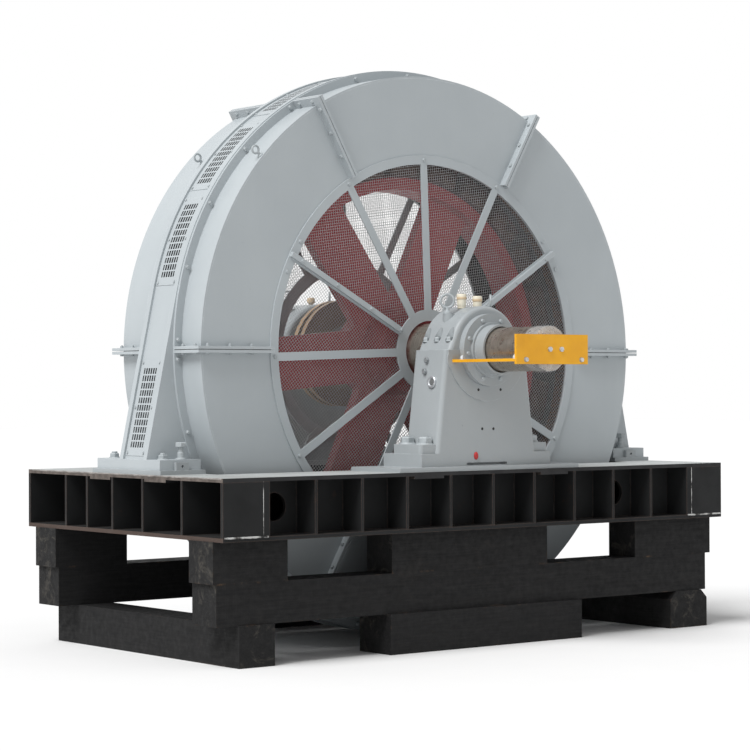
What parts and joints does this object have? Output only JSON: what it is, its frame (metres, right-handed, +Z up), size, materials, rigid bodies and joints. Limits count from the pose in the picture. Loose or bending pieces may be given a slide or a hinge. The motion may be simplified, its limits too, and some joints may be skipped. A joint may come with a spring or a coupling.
{
  "type": "synchronous motor",
  "caption": "Large round synchronous motor with pedestal bearings and a wire-guarded salient-pole rotor, on a steel base over transport timbers.",
  "frame": {"origin": "on the ground, under the middle of the whole outline", "axes": "+Z up; -Y the drive end, along the shaft; +X to the right of someone facing the drive end"},
  "size_m": [3.443, 2.319, 3.096],
  "materials": {
    "grey_paint": "semi-gloss",
    "base_black": "satin",
    "base_top": "satin",
    "timber_black": "worn black paint",
    "rotor_red": "semi-gloss",
    "pole_dark": "varnished",
    "core_steel": "varnished laminations",
    "winding": "taped coils",
    "shaft_steel": "oiled, machined",
    "slip_black": "insulation with two bronze rings",
    "transport_yellow": "semi-gloss",
    "wire_screen": "woven wire"
  },
  "bodies": {
    "stator": {"base_bottom_plate": "base_black", "base_end_walls": "base_black", "base_long_webs": "base_black", "base_ribs_ends": "base_black", "base_ribs_front": "base_black", "base_ribs_rear": "base_black", "base_top_plate": "base_top", "bearing_cap_front": "grey_paint", "bearing_cap_rear": "grey_paint", "bearing_cover_rear": "grey_paint", "feet": "grey_paint", "frame_front_plate": "grey_paint", "frame_rear_plate": "grey_paint", "frame_skin": "grey_paint", "frame_vents": "grey_paint", "front_cover_face": "grey_paint", "front_cover_joints": "grey_paint", "front_cover_wall": "grey_paint", "guard_front": "grey_paint", "guard_rear": "grey_paint", "guard_screen_front": "wire_screen", "guard_screen_rear": "wire_screen", "pedestal_front": "grey_paint", "pedestal_rear": "grey_paint", "rear_cover_face": "grey_paint", "rear_cover_joints": "grey_paint", "rear_cover_wall": "grey_paint", "shaft_seal_front": "grey_paint", "sole_plates": "grey_paint", "stator_core": "core_steel", "timber_blocks_front": "timber_black", "timber_blocks_rear": "timber_black", "timber_bottom_left": "timber_black", "timber_bottom_middle_front": "timber_black", "timber_bottom_middle_rear": "timber_black", "timber_bottom_right": "timber_black", "timber_long_front": "timber_black", "timber_long_rear": "timber_black", "transport_bracket": "transport_yellow", "windings": "winding"},
    "rotor": {"shaft": "shaft_steel", "rotor_spider": "rotor_red", "rotor_rim": "rotor_red", "rotor_poles": "pole_dark", "slip_rings": "slip_black"}
  },
  "joints": [
    {"name": "rotor_spin", "type": "hinge", "parent": "stator", "child": "rotor", "pos_m": [0.002, 0.2025, 1.559], "axis": [0, 1, 0], "continuous": true}
  ]
}
